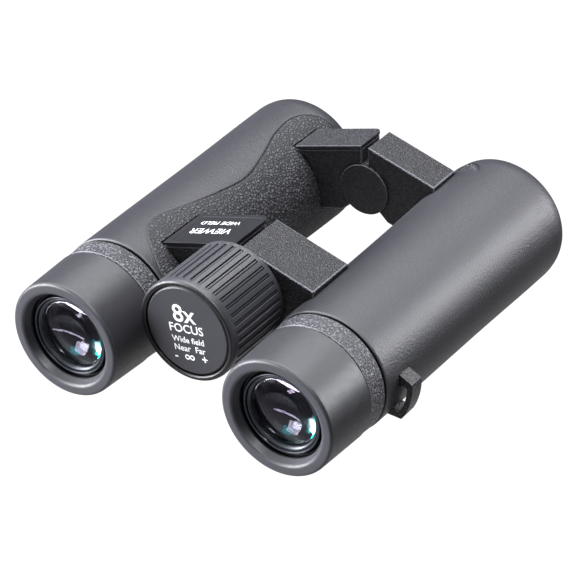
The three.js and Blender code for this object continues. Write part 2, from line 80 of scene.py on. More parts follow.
AXIS_X = middle("right_dioptre_ring").x / MM         # half the spacing of the optical axes
AXIS_LEVEL = middle("right_dioptre_ring").z / MM     # height of the optical axes in the frame
EYE_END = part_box("right_eyecup_rubber")[0].y / MM    # Y of the eyecup faces in the frame
HINGE_Z = middle("front_hinge_disc").z / MM - AXIS_LEVEL
HINGE_REACH = math.hypot(AXIS_X, HINGE_Z)            # from the hinge axis to an optical axis
HINGE_TILT = math.atan2(HINGE_Z, AXIS_X)
SIDES = (("left", -1), ("right", 1))


def row(x, y, z):
    return Vector((x, y + EYE_END, z + AXIS_LEVEL)) * MM


# ---- driving dimensions, as in the CAD

GAP = 0.3              # between pieces that move against each other
CUT = 0.1              # how far a cutter reaches past the face it opens
TUBE = {"back": 25.6, "front": 119, "shoulder": 96.5, "bore": 15.4, "outer": 17,
        "wide_bore": 18, "wide_outer": 18.9}
REAR_BRIDGE = (35, 52.6)                 # y of the rear and the front face of the arms
FRONT_BRIDGE = (100, 112)
ARM = {"inner": 1.1, "ridge": 24.1, "slope": math.tan(0.288), "under": 0.64, "under_x": 7.7,
       "under_slope": 0.279}
ARM_ENDS = {35: 24.7, 100: 23.8}         # where each right arm's top ends, by the arm's rear face
ARMS_END = 25                            # x beyond which there is only barrel
CORNER = {"rear": 3.4, "front": 2.8}     # far corners of the left arms and covers, by the slot
KNUCKLE_RADIUS = 8.2
KNUCKLE_CLEARANCE = 8.27                 # radius of the recess in the other half's arm
REAR_SPLIT = 49.4                        # y where the left knuckle meets the right one
FRONT_SPLIT = 105.8
CAVITY = {"back": 38.4, "front": 48.4, "radius": 7}
BUSH_RADIUS = 4.5
PIN_RADIUS = 2.4
SPINDLE_RADIUS = 2.5
PLATE = {"thickness": 1.2, "seat": 0.25, "proud": 0.2}
COVER_ENDS = {"rear": (34.85, 53.1), "front": (99.75, 112.3)}    # in y
PRINT_DEPTH = 0.16                       # of the recess in the name plate
HINGE_DISC = (99.3, 100.7)               # in y
WHEEL = {"radius": 15.55, "rib_front": 12.4, "rib_back": 32.6, "ribs": 38,
         "groove": 0.6, "groove_width": 1.05}
DRIVE_ARM = {"left": 42.3, "right": 44.1, "thickness": 1.5, "half": 1.6, "travel": 2.2}
LUG = {"back": 32, "front": 36.8, "foot": 17.35, "outer": 22.8, "slot": 21.1,
       "slot_top": -3, "slot_bottom": -28.5}     # in y, radii, and degrees round the barrel

# ---- camera

CAMERA = {"azimuth": 34.67, "elevation": 32.44, "roll": -1.495, "distance": 734.1, "lens": 160.3}
AIM = (0.3, -3.2, -4.5)                  # what the camera looks at, from the middle of the CAD box

scene = bpy.context.scene


def add_object(name, data):
    obj = bpy.data.objects.new(name, data)
    scene.collection.objects.link(obj)
    return obj


def add_camera():
    """A long lens above and to the right of the eyepieces."""
    azimuth, elevation, roll = (math.radians(CAMERA[key])
                                for key in ("azimuth", "elevation", "roll"))
    low, high = cad_box
    aim = (low + high) / 2 + Vector(AIM) * MM
    back = Vector((math.sin(azimuth) * math.cos(elevation),
                   -math.cos(azimuth) * math.cos(elevation), math.sin(elevation)))
    level = Vector((math.cos(azimuth), math.sin(azimuth), 0))
    up = back.cross(level)
    right = math.cos(roll) * level + math.sin(roll) * up
    above = math.cos(roll) * up - math.sin(roll) * level
    data = bpy.data.cameras.new("camera")
    data.lens = CAMERA["lens"]
    data.sensor_width = 36
    camera = scene.camera = add_object("camera", data)
    turn = Matrix((right, above, back)).transposed()
    camera.matrix_world = Matrix.Translation(aim + back * CAMERA["distance"] * MM) @ turn.to_4x4()


add_camera()

# ---- mesh helpers


def make(name, points, faces):
    """An object from points in millimetres in the working frame."""
    mesh = bpy.data.meshes.new(name)
    mesh.from_pydata([row(*p) for p in points], [], faces)
    mesh.validate()
    return add_object(name, mesh)


def bake(obj):
    """Replaces obj's mesh by what its modifiers make of it."""
    graph = bpy.context.evaluated_depsgraph_get()
    mesh = bpy.data.meshes.new_from_object(obj.evaluated_get(graph))
    obj.modifiers.clear()
    obj.data = mesh
    return obj


def bevel(obj, width, steps=3, angle=30):
    """Rounds every edge of obj that turns more than angle degrees."""
    modifier = obj.modifiers.new("bevel", "BEVEL")
    modifier.width = width * MM
    modifier.segments = steps
    modifier.limit_method = "ANGLE"
    modifier.angle_limit = math.radians(angle)
    return bake(obj)


def combine(obj, others, operation):
    """Joins the others to obj, or cuts them out of it, and removes them."""
    for other in others:
        modifier = obj.modifiers.new("combine", "BOOLEAN")
        modifier.operation = operation
        modifier.solver = "MANIFOLD"
        modifier.object = other
    bake(obj)
    for other in others:
        mesh = other.data
        bpy.data.objects.remove(other)
        bpy.data.meshes.remove(mesh)
    return obj


def join(obj, *others):
    return combine(obj, others, "UNION")


def cut(obj, *others):
    return combine(obj, others, "DIFFERENCE")


def rounded(points, closed=True, steps=4):
    """An outline with its corners (a, b, radius) turned into arcs. A corner (a, b) stays sharp."""
    result = []
    for i, (a, b, *radius) in enumerate(points):
        here = Vector((a, b))
        before = Vector(points[i - 1][:2]) - here
        after = Vector(points[(i + 1) % len(points)][:2]) - here
        end = not closed and i in (0, len(points) - 1)
        if not radius or end:
            result.append((a, b))
            continue
        half = before.angle(after) / 2
        reach = min(radius[0] / math.tan(half), 0.48 * before.length, 0.48 * after.length)
        before.normalize()
        after.normalize()
        centre = here + (before + after).normalized() * reach / math.cos(half)
        start = here + before * reach - centre
        sweep = start.angle_signed(here + after * reach - centre)
        for step in range(steps + 1):
            spoke = start.copy()
            spoke.rotate(Matrix.Rotation(-sweep * step / steps, 2))
            result.append(tuple(centre + spoke))
    return result


def skin(rings):
    """Faces between rings of point numbers. A ring of one point closes to a tip."""
    faces = []
    for ring, other in zip(rings, rings[1:]):
        count = max(len(ring), len(other))
        for i in range(count):
            a, b = ring[i % len(ring)], ring[(i + 1) % len(ring)]
            c, d = other[(i + 1) % len(other)], other[i % len(other)]
            faces.append(list(dict.fromkeys((a, b, c, d))))
    return faces


def turned(name, profile, x=0.0, z=0.0, sides=96, solid=False):
    """A turned piece round the line along Y at (x, z), from a profile of (radius, y[, fillet])
    that is anticlockwise with the radius to the right. A solid one starts and ends on the axis."""
    outline = rounded(profile, closed=not solid)
    points, rings = [], []
    for radius, y in outline:
        count = sides if radius > 1e-6 else 1
        rings.append(range(len(points), len(points) + count))
        for i in range(count):
            angle = 2 * math.pi * i / sides
            points.append((x + radius * math.sin(angle), y, z + radius * math.cos(angle)))
    if not solid:
        rings.append(rings[0])
    return make(name, points, skin(rings))


def loft(name, outlines):
    """A solid through closed outlines of (x, y, z) with the same number of points each."""
    count = len(outlines[0])
    points = [p for outline in outlines for p in outline]
    rings = [range(i * count, (i + 1) * count) for i in range(len(outlines))]
    return face_out(make(name, points, skin(rings) + [list(rings[0])[::-1], list(rings[-1])]))


def along(name, outline, y0, y1):
    """An outline of (x, z) run along Y."""
    return loft(name, [[(x, y, z) for x, z in outline] for y in (y0, y1)])


def face_out(obj):
    """Turns a closed mesh so that its faces look outwards."""
    mesh = bmesh.new()
    mesh.from_mesh(obj.data)
    bmesh.ops.recalc_face_normals(mesh, faces=mesh.faces)
    mesh.to_mesh(obj.data)
    mesh.free()
    return obj


def polar(radius, degrees):
    return radius * math.cos(math.radians(degrees)), radius * math.sin(math.radians(degrees))


def arc(radius, start, end, steps):
    return [polar(radius, start + (end - start) * i / steps) for i in range(steps + 1)]


def dome(radius, edge, vertex, outward, steps=14):
    """Half a lens face from the edge to the axis, or from the axis to the edge."""
    points = [(radius * t, vertex + (edge - vertex) * t * t) for t in np.linspace(0, 1, steps + 1)]
    return points if outward else points[::-1]


def lens(name, radius, back, front, x):
    """A lens from its (edge, vertex) places at the back and at the front."""
    return turned(name, dome(radius, *back, True) + dome(radius, *front, False), x, solid=True)


def smooth_curve(knots, count):
    """Points on a Catmull-Rom curve through the knots, count to each stretch."""
    knots = [np.array(k, float) for k in knots]
    padded = [2 * knots[0] - knots[1], *knots, 2 * knots[-1] - knots[-2]]
    result = []
    for p0, p1, p2, p3 in zip(padded, padded[1:], padded[2:], padded[3:]):
        for t in np.linspace(0, 1, count, endpoint=False):
            result.append(0.5 * (2 * p1 + (p2 - p0) * t + (2 * p0 - 5 * p1 + 4 * p2 - p3) * t ** 2
                                 + (3 * p1 - 3 * p2 + p3 - p0) * t ** 3))
    return np.array(result + [knots[-1]])


# ---- materials


class Nodes:
    """A material and short ways to build its nodes."""

    def __init__(self, name, roughness, metallic=0.0, specular=0.5):
        self.material = bpy.data.materials.new(name)
        self.material.use_nodes = True
        self.tree = self.material.node_tree
        self.shader = self.tree.nodes["Principled BSDF"]
        self.shader.inputs["Roughness"].default_value = roughness
        self.shader.inputs["Metallic"].default_value = metallic
        self.shader.inputs["Specular IOR Level"].default_value = specular
        self.place = self.add("TexCoord").outputs["Object"]

    def add(self, kind, settings=(), **inputs):
        node = self.tree.nodes.new("ShaderNode" + kind)
        for key, value in dict(settings).items():
            setattr(node, key, value)
        for key, value in inputs.items():
            self.put(node.inputs[key.replace("_", " ")], value)
        return node

    def put(self, socket, value):
        if isinstance(value, bpy.types.NodeSocket):
            self.tree.links.new(value, socket)
        else:
            socket.default_value = value

    def attribute(self, name):
        return self.add("Attribute", {"attribute_name": name}).outputs["Fac"]

    def noise(self, size, detail=2.0):
        """Cloudy noise with features of about size millimetres."""
        node = self.add("TexNoise", Vector=self.place, Scale=1 / (size * MM), Detail=detail)
        return node.outputs["Fac"]

    def cell_edges(self, size):
        """How far a place is from the edge of its cell, in cells of about size millimetres."""
        settings = {"feature": "DISTANCE_TO_EDGE"}
        node = self.add("TexVoronoi", settings, Vector=self.place, Scale=1 / (size * MM))
        return node.outputs["Distance"]

    def math(self, operation, a, b=0.0, clamp=False):
        node = self.add("Math", {"operation": operation, "use_clamp": clamp})
        self.put(node.inputs[0], a)
        self.put(node.inputs[1], b)
        return node.outputs[0]

    def spread(self, value, low, high, to_low=0, to_high=1, smooth=False):
        """Maps value from low..high to to_low..to_high."""
        settings = {"interpolation_type": "SMOOTHSTEP" if smooth else "LINEAR"}
        node = self.add("MapRange", settings, Value=value)
        ends = {"From Min": low, "From Max": high, "To Min": to_low, "To Max": to_high}
        for key, number in ends.items():
            node.inputs[key].default_value = number
        return node.outputs["Result"]

    def blend(self, factor, colour_a, colour_b):
        node = self.add("Mix", {"data_type": "RGBA"})
        self.put(node.inputs["Factor"], factor)
        for socket, colour in ((node.inputs[6], colour_a), (node.inputs[7], colour_b)):
            self.put(socket, colour if isinstance(colour, bpy.types.NodeSocket) else (*colour, 1))
        return node.outputs[2]

    def painted_edge_highlight(self, colour, paler):
        """The colour, paler as a painted highlight on the faces picked out for it."""
        return self.blend(self.attribute("edge"), colour, paler)

    def bump(self, height, depth):
        """Bumps whose height from 0 to 1 is depth millimetres."""
        node = self.add("Bump", Height=height, Distance=depth * MM, Strength=1.0)
        self.put(self.shader.inputs["Normal"], node.outputs["Normal"])

    def colour(self, value):
        self.put(self.shader.inputs["Base Color"], value)

    def rough(self, value):
        self.put(self.shader.inputs["Roughness"], value)


def times(factor, colour):
    return [factor * c for c in colour]


def plain_rubber(name, grey, rough):
    """Moulded rubber with a fine matt skin, faint cloudy variation and a painted edge highlight."""
    n = Nodes(name, rough)
    colour = n.blend(n.noise(14), times(0.88, grey), times(1.12, grey))
    n.colour(n.painted_edge_highlight(colour, times(1.55, grey)))
    n.rough(n.spread(n.noise(1.5, 4), 0.3, 0.7, rough - 0.05, rough + 0.05))
    n.bump(n.noise(0.3, 3), 0.02)
    return n.material


def jacket_rubber():
    """The barrels' jacket: plain outside, leather grain inside the grip, and a fine groove at its
    edge. The attribute grip is the distance inside that edge; grain and groove say how much of
    each shows."""
    n = Nodes("jacket_rubber", 0.5)
    edge, grain_show, groove_show = (n.attribute(key) for key in ("grip", "grain", "groove"))
    inside = n.math("MULTIPLY", n.spread(edge, 0.15, 0.6, smooth=True), grain_show)
    near_edge = n.spread(n.math("ABSOLUTE", edge), 0.06, 0.3, 1, 0, smooth=True)
    groove = n.math("MULTIPLY", near_edge, groove_show)
    pores = n.spread(n.cell_edges(1.05), 0.0, 0.3, smooth=True)
    lumps = n.spread(n.noise(0.8, 2), 0.35, 0.65)
    grain = n.math("MULTIPLY", pores, n.spread(lumps, 0, 1, 0.25, 1))
    skin_noise = n.math("MULTIPLY", n.noise(0.55, 2), 0.45)
    height = n.math("ADD", n.math("MULTIPLY", grain, inside), skin_noise)
    n.bump(n.math("SUBTRACT", height, n.math("MULTIPLY", groove, 0.8)), 0.3)
    cloud = n.blend(n.noise(14), (0.034, 0.034, 0.041), (0.041, 0.041, 0.050))
    specks = n.spread(n.noise(0.45, 1), 0.6, 0.7, 0, 0.5, smooth=True)
    cloud = n.blend(specks, cloud, (0.075, 0.076, 0.088))
    # Painted light on the grain: its raised tops paler as a painted highlight, its hollows near
    # black as painted shade.
    painted_tip_highlight = n.math("MULTIPLY", inside, n.spread(grain, 0.2, 0.8))
    painted_hollow_shade = n.math("MULTIPLY", inside, n.spread(grain, 0, 0.4, 0.7, 0))
    grained = n.blend(painted_hollow_shade, n.blend(painted_tip_highlight, cloud, (0.15, 0.152, 0.168)), (0.006, 0.006, 0.008))
    # Painted shade: near black along the groove at the grip's edge and on the rear rim; the rim's
    # rounded edge is paler as a painted highlight.
    groove_shaded = n.blend(groove, grained, (0.003, 0.003, 0.004))
    n.colour(n.painted_edge_highlight(groove_shaded, (0.13, 0.132, 0.145)))
    n.rough(n.spread(inside, 0, 1, 0.45, 0.62))
    return n.material


def stippled_plastic(name, grey, depth, edge, size=0.55, rough=0.38, tip=3.0):
    """Black casting or trim with a stipple of depth and size millimetres. The colour is painted
    light and shade on the stipple: darker in its hollows as painted shade, paler on its raised tops
    as a painted highlight, tip times the grey, and paler on the picked-out edges as a painted
    highlight, edge times the grey."""
    n = Nodes(name, rough)
    grains = n.spread(n.noise(size, 2), 0.36, 0.64)
    n.bump(grains, depth)
    painted_tip_highlight = n.spread(grains, 0.6, 1)
    shaded_hollows = n.blend(grains, times(0.35, grey), grey)
    n.colour(n.painted_edge_highlight(n.blend(painted_tip_highlight, shaded_hollows, times(tip, grey)), times(edge, grey)))
    return n.material


def ribbed_rubber():
    """The focus wheel's tyre: plain rubber on the ribs, and painted shade, near black, deep in the
    grooves.
    """
    n = Nodes("wheel_rubber", 0.42)
    place = n.add("SeparateXYZ", Vector=n.place).outputs
    across = n.math("POWER", place["X"], 2.0)
    level = (AXIS_LEVEL + HINGE_Z) * MM
    up = n.math("POWER", n.math("ABSOLUTE", n.math("SUBTRACT", place["Z"], level)), 2.0)
    radius = n.math("DIVIDE", n.math("SQRT", n.math("ADD", across, up)), MM)
    # Painted shade: below the rib tops the colour falls to near black, for the shade in the
    # grooves.
    top = n.spread(radius, WHEEL["radius"] - 0.5, WHEEL["radius"] - 0.3, smooth=True)
    n.colour(n.blend(top, (0.004, 0.004, 0.005), (0.064, 0.065, 0.075)))
    n.rough(n.spread(n.noise(1.5, 4), 0.3, 0.7, 0.36, 0.46))
    n.bump(n.noise(0.3, 3), 0.02)
    return n.material


def satin_plastic(name, grey, rough):
    """Smooth moulded plastic, paler on its picked-out edges as a painted highlight."""
    n = Nodes(name, rough)
    colour = n.blend(n.noise(9), times(0.9, grey), times(1.1, grey))
    n.colour(n.painted_edge_highlight(colour, times(4, grey)))
    n.rough(n.spread(n.noise(0.8, 4), 0.3, 0.7, rough - 0.05, rough + 0.06))
    n.bump(n.noise(0.1, 2), 0.004)
    return n.material


def turned_metal(name, colour, rough, metallic=1.0):
    """Machined metal with faint rings along the lathe axis."""
    n = Nodes(name, rough, metallic)
    along_y = n.add("SeparateXYZ", Vector=n.place).outputs["Y"]
    settings = {"noise_dimensions": "1D"}
    rings = n.add("TexNoise", settings, W=along_y, Scale=1 / (0.12 * MM), Detail=2.0)
    n.bump(rings.outputs["Fac"], 0.006)
    n.colour(n.blend(n.noise(3), times(0.9, colour), times(1.08, colour)))
    n.rough(n.spread(n.noise(0.6, 3), 0.3, 0.7, rough - 0.04, rough + 0.06))
    return n.material


def coated_glass(name, coating, body=(0.86, 0.95, 0.93), strength=0.5):
    """Clear glass with a coloured reflection from its coating."""
    n = Nodes(name, 0.0, specular=strength)
    n.shader.inputs["Transmission Weight"].default_value = 1.0
    n.shader.inputs["IOR"].default_value = 1.52
    n.shader.inputs["Specular Tint"].default_value = (*coating, 1)
    n.colour(n.blend(n.noise(20), body, times(0.99, body)))
    return n.material


def dark_glass(name, coating, strength):
    """A glass face with only darkness behind it, shown as a polished dark one."""
    n = Nodes(name, 0.02, specular=strength)
    n.shader.inputs["Specular Tint"].default_value = (*coating, 1)
    n.colour(n.blend(n.noise(20), (0.005, 0.009, 0.010), (0.006, 0.011, 0.012)))
    return n.material


def print_ink():
    n = Nodes("print_ink", 0.5)
    n.colour(n.blend(n.noise(0.3), (0.84, 0.84, 0.85), (0.93, 0.93, 0.94)))
    return n.material


M = {
    "cup": plain_rubber("cup_rubber", (0.043, 0.043, 0.050), 0.44),
    "jacket": jacket_rubber(),
    "wheel": ribbed_rubber(),
    "stipple": stippled_plastic("stippled_plastic", (0.096, 0.096, 0.108), 0.2, 3, rough=0.42),
    "lug": stippled_plastic("lug_plastic", (0.030, 0.030, 0.034), 0.1, 7),
    "casting": stippled_plastic("stippled_casting", (0.036, 0.036, 0.042), 0.14, 7, 0.5, 0.46, 1.8),
    "satin": satin_plastic("satin_plastic", (0.036, 0.036, 0.042), 0.34),
    "name_plate": satin_plastic("name_plate_black", (0.035, 0.035, 0.041), 0.36),
    "front_cover": stippled_plastic("front_cover_black", (0.084, 0.084, 0.094), 0.04, 3, 0.5,
                                    tip=1.5),
    "cap": satin_plastic("cap_face", (0.042, 0.042, 0.049), 0.4),
    "black": turned_metal("black_anodised", (0.014, 0.014, 0.017), 0.34, 0.6),
    "baffle": turned_metal("baffle_black", (0.006, 0.0065, 0.008), 0.45, 0.0),
    "bezel": turned_metal("bezel_grey", (0.035, 0.04, 0.05), 0.3, 0.3),
    "steel": turned_metal("bright_steel", (0.55, 0.56, 0.58), 0.28),
    "brass": turned_metal("brass", (0.55, 0.42, 0.19), 0.3),
    "eye_glass": coated_glass("eye_lens_glass", (0.85, 0.75, 1.0), (0.80, 0.84, 0.86)),
    "field_glass": dark_glass("field_lens_glass", (0.35, 0.95, 0.9), 1.0),
    "objective_glass": coated_glass("objective_glass", (0.45, 0.9, 0.6), strength=0.8),
    "prism_glass": dark_glass("prism_glass", (0.7, 0.9, 1.0), 0.5),
    "ink": print_ink(),
}


def dress(obj, material):
    obj.data.materials.clear()
    obj.data.materials.append(M[material])


def mark_highlight_edges(obj, arms=False, back_of=None, slant=(0.22, 0.97)):
    """Stores 1 on the narrow faces that round the edge of an end face, where the material paints a
    highlight: those whose normal's Y lies within slant. On the arms it takes in the edges along Y
    too, but nothing on the barrel. back_of keeps only what lies behind that y."""
    limit = None if back_of is None else row(0, back_of, 0).y
    hinge = row(0, 0, HINGE_Z)
    values = []
    for face in obj.data.polygons:
        normal, centre = face.normal, face.center
        found = slant[0] < abs(normal.y) < slant[1]
        if arms:
            clear = KNUCKLE_CLEARANCE + 0.1 < math.hypot(centre.x, centre.z - hinge.z) / MM
            found |= clear and abs(normal.y) < 0.1 and 0.3 < normal.z < 0.9
            found &= abs(centre.x) < ARMS_END * MM
        values.append(float(found and (limit is None or centre.y < limit)))
    obj.data.attributes.new("edge", "FLOAT", "FACE").data.foreach_set("value", values)
    return obj


def piece(obj, material, body, slot, *nodes, sharp=34):
    """Shades obj, gives it its material, and hands it to the frame."""
    dress(obj, material)
    face_out(obj)
    obj.data.shade_smooth()
    obj.data.set_sharp_from_angle(angle=math.radians(sharp))
    modifier = obj.modifiers.new("normals", "WEIGHTED_NORMAL")
    modifier.keep_sharp = True
    bake(obj)
    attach(obj, body)
    if nodes:
        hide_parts(*nodes)
    return obj


# ---- bridge arms and casting


def arm_top(x, lift=0.0):
    return ARM["ridge"] + lift - (x - ARM["inner"]) * ARM["slope"]


def arm_under(x, lift=0.0):
    return ARM["under"] - lift - (x - ARM["under_x"]) * ARM["under_slope"]


def arm_slab(side, y0, y1, drop=0.0, grow=0.0):
    """One arm from the middle to inside the barrel wall. Drop lowers its top to seat a cover, and
    grow thickens it for cutting. A right arm ends in a low upright face beside the barrel."""
    inner = ARM["inner"]
    far = (ARM_ENDS[y0] if side > 0 else 30.5) + grow
    outline = [
        (inner, arm_top(inner, grow - drop)),
        (far, arm_top(far, grow - drop)),
        (far, 12.2),
        (20, arm_under(20, grow)),
        (ARM["under_x"], arm_under(ARM["under_x"], grow)),
        (4.9, 3.3 - grow),
        (inner, 3.3 - grow),
    ]
    slab = along("arm", [(side * x, z) for x, z in outline], y0 - grow, y1 + grow)
    if grow:
        return slab
    if side < 0:
        cut(slab, corner_cutter(y1, CORNER["rear" if y0 < 60 else "front"]))
    return bevel(slab, 0.42)


def corner_cutter(y1, radius):
    """What a left arm loses at its far corner by the slot, over its whole height."""
    inner = ARM["inner"]
    curve = [(inner + radius - radius * math.cos(t), y1 - radius + radius * math.sin(t))
             for t in np.linspace(0, math.pi / 2, 9)]
    plan = curve + [(inner + radius, y1 + 1), (inner - 1, y1 + 1), (inner - 1, y1 - radius)]
    return loft("corner", [[(-x, y, z) for x, y in plan] for z in (0, 30)])


def along_arm(side, s0, s1, y0, y1, half):
    """A box on the line from the hinge axis to one optical axis."""
    cos, sin = math.cos(HINGE_TILT), math.sin(HINGE_TILT)
    corners = [(s0, -half), (s1, -half), (s1, half), (s0, half)]
    outline = [(side * (s * cos + t * sin), HINGE_Z - s * sin + t * cos) for s, t in corners]
    return along("channel", outline, y0, y1)


def knuckle(y0, y1, fillet=0.3):
    """A disc on the hinge axis."""
    return turned("knuckle", [(0, y0), (KNUCKLE_RADIUS, y0, fillet), (KNUCKLE_RADIUS, y1, fillet),
                              (0, y1)], 0, HINGE_Z, solid=True)


def hinge_bar(radius, y0, y1):
    """A plain bar on the hinge axis, to cut with."""
    return turned("bar", [(0, y0), (radius, y0), (radius, y1), (0, y1)], 0, HINGE_Z, solid=True)


def hinge_pieces(side):
    """Cutters for the other half's knuckles, this half's knuckles, and its bores."""
    (rear0, rear1), (front0, front1) = REAR_BRIDGE, FRONT_BRIDGE
    if side < 0:
        clear = [(REAR_SPLIT, rear1 + CUT), (FRONT_SPLIT, front1 + CUT)]
        knuckles = [(rear0, REAR_SPLIT), (front0 + 1, FRONT_SPLIT)]
        bores = [(SPINDLE_RADIUS + GAP, rear0 - CUT, CAVITY["back"] + CUT),
                 (CAVITY["radius"], CAVITY["back"], CAVITY["front"]),
                 (BUSH_RADIUS + GAP, CAVITY["front"] - CUT, REAR_SPLIT + CUT),
                 (PIN_RADIUS + GAP, front0, FRONT_SPLIT + CUT)]
        seat = [hinge_bar(KNUCKLE_RADIUS + GAP, front0 - CUT, front0 + 1)]
    else:
        clear = [(rear0 - CUT, REAR_SPLIT + GAP), (front0 - CUT, FRONT_SPLIT + GAP)]
        knuckles = [(REAR_SPLIT + GAP, rear1), (FRONT_SPLIT + GAP, front1)]
        bores = [(BUSH_RADIUS + GAP, REAR_SPLIT, rear1 + CUT),
                 (PIN_RADIUS + GAP, FRONT_SPLIT, front1 + CUT)]
        seat = []
    return ([hinge_bar(KNUCKLE_CLEARANCE, *ends) for ends in clear] + seat,
            [knuckle(*ends) for ends in knuckles],
            [hinge_bar(*size) for size in bores])


def drive_cuts(side):
    """The slot along an arm for its drive arm, and the window that the right one swings through."""
    slack = DRIVE_ARM["travel"] + GAP
    back = DRIVE_ARM["left"] if side < 0 else DRIVE_ARM["right"]
    start = CAVITY["radius"] - 1 if side < 0 else KNUCKLE_RADIUS
    end = HINGE_REACH - TUBE["bore"] + 2
    cuts = [along_arm(side, start, end, back - slack, back + DRIVE_ARM["thickness"] + slack,
                      DRIVE_ARM["half"] + 0.4)]
    if side < 0:
        window = [(0, HINGE_Z)] + [(x, z + HINGE_Z) for x, z in arc(KNUCKLE_RADIUS + 1, -90, 8, 24)]
        cuts.append(along("window", window, DRIVE_ARM["right"] - slack,
                          DRIVE_ARM["right"] + DRIVE_ARM["thickness"] + slack))
    return cuts


def casting(side):
    """One half's casting: the barrel tube with its arms and knuckles, bored and slotted."""
    x, t = side * AXIS_X, TUBE
    tube = turned("tube", [(0, t["back"]), (t["outer"], t["back"]), (t["outer"], t["shoulder"]),
                           (t["wide_outer"], t["shoulder"] + 1), (t["wide_outer"], t["front"]),
                           (0, t["front"])], x, solid=True)
    bore = turned("bore", [(0, t["back"] - CUT), (t["bore"], t["back"] - CUT),
                           (t["bore"], t["shoulder"] + 1.1), (t["wide_bore"], t["shoulder"] + 2.1),
                           (t["wide_bore"], t["front"] + CUT), (0, t["front"] + CUT)],
                  x, solid=True)
    drop = PLATE["thickness"] + PLATE["seat"] - PLATE["proud"] if side < 0 else 0.0
    clearances, knuckles, bores = hinge_pieces(side)
    join(tube, *[arm_slab(side, *ends, drop) for ends in (REAR_BRIDGE, FRONT_BRIDGE)])
    cut(tube, *clearances)
    join(tube, *knuckles)
    return cut(tube, bore, *bores, *drive_cuts(side))


# ---- jacket

JACKET_RADII = [(25.5, 18.75), (50, 19.1), (81, 19.5), (106, 20.05), (117, 20.2)]   # (y, radius)
JACKET_BACK = 25.8         # y of the rear rim
RIM_START, RIM_END = 117, 122.5    # y between which the front rim curves in
GRIP_EDGE = [(27, 0), (27, 32), (29, 54), (35, 78), (43, 85.5), (55, 74), (66, 66), (77, 62),
             (88, 68.5), (101, 79.5), (111, 80), (117, 66), (118.6, 40),
             (118.7, 0)]   # (y, degrees from the hinge side)
GRIP_SCALE = 19.5          # radius that turns the grip edge's angles into millimetres
GRIP_STEP = 0.16           # how far the grip stands proud
GROOVE = (0.17, 0.33)      # depth and half width of the groove at the grip's edge


def grip_loop():
    """The grip's edge as a closed loop of (y, distance round the barrel from the hinge side)."""
    upper = smooth_curve(GRIP_EDGE, 12) * (1, math.radians(1) * GRIP_SCALE)
    lower = upper[::-1] * (1, -1)
    return np.vstack((upper[:-1], lower[:-1]))


def inside_distance(loop, y, s):
    """Distance of the points (y, s) from the loop, above zero inside it."""
    points = np.stack((y, s), -1)
    best = np.full(len(points), 1e9)
    inside = np.zeros(len(points), bool)
    for a, b in zip(loop, np.roll(loop, -1, 0)):
        run = b - a
        t = np.clip(((points - a) @ run) / (run @ run), 0, 1)
        best = np.minimum(best, np.linalg.norm(points - a - t[:, None] * run, axis=1))
        crosses = (a[1] > points[:, 1]) != (b[1] > points[:, 1])
        height = np.where(abs(run[1]) > 1e-12, run[1], 1e-12)
        at = a[0] + (points[:, 1] - a[1]) * run[0] / height
        inside ^= crosses & (points[:, 0] < at)
    return np.where(inside, best, -best)


def ease(value, low, high):
    t = np.clip((value - low) / (high - low), 0, 1)
    return t * t * (3 - 2 * t)


def grip_show(side, y, degrees):
    """How strongly the grip's grain, and the groove at its edge, show at a place on the jacket. On
    top of the right barrel the skin stays plain up to the front end of the grip."""
    if side > 0:
        grain = 1 - ease(degrees, 40, 50) * (1 - ease(y, 111, 116))
        return grain, grain
    return np.ones_like(y + degrees), 0.25 + 0.75 * ease(y, 48, 66)


def grip_relief(distance, grain, groove):
    """Height of the skin by its distance inside the grip's edge: a low step with a groove at it."""
    depth, width = GROOVE
    step = GRIP_STEP * grain * ease(distance, 0, 0.7)
    return step - depth * groove * np.exp(-(distance / width) ** 2)


def jacket_angles():
    """Angles round a barrel from the hinge side, close together where the grip's edge runs."""
    fine = np.arange(52, 94, 0.85)
    coarse = np.concatenate((np.arange(-52, 52, 2.6), np.arange(94, 266, 3.0)))
    coarse = np.where(coarse > 180, coarse - 360, coarse)
    return np.radians(np.sort(np.concatenate((fine, -fine, coarse))))


def jacket(side):
    """Jacket skin with its grip area raised, and openings for the arms and the lug's feet."""
    loop = grip_loop()
    angles = jacket_angles()
    curve = smooth_curve(JACKET_RADII, 30)
    profile = [(18.2, JACKET_BACK, 0), (18.45, 25.86, 0), (18.62, 26.0, 0), (18.74, 26.2, 1)]
    profile += [(np.interp(y, *curve.T), y, 1) for y in np.arange(26.3, RIM_START, 0.36)]
    for t in np.radians(np.arange(0, 90, 5)):
        y = RIM_START + (RIM_END - RIM_START) * math.sin(t)
        profile.append((18.1 + 2.1 * math.cos(t) ** 0.85, y, 1))
    profile += [(17.35, RIM_END, 0), (17.1, RIM_END - 0.1, 0), (17, RIM_END - 0.35, 0),
                (17, 119.3, 0), (19.2, 119.3, 0), (19.2, 97.25, 0), (17.25, 96.2, 0),
                (17.25, 26.1, 0), (17.55, JACKET_BACK, 0)]
    points, rings = [], []
    for radius, y, shaped in profile:
        along_y = np.full(len(angles), y)
        distance = inside_distance(loop, along_y, angles * GRIP_SCALE)
        relief = grip_relief(distance, *grip_show(side, along_y, np.degrees(angles)))
        radii = radius + shaped * relief
        rings.append(range(len(points), len(points) + len(angles)))
        points += [(side * (AXIS_X - r * math.cos(a)), y, r * math.sin(a))
                   for r, a in zip(radii, angles)]
    rings.append(rings[0])
    obj = face_out(make(("left" if side < 0 else "right") + "_jacket", points, skin(rings)))
    holes = [arm_slab(side, *ends, 0, GAP) for ends in (REAR_BRIDGE, FRONT_BRIDGE)]
    cut(obj, *holes, lug_blank(side, GAP))
    mark_grip(obj, side, loop)
    return obj


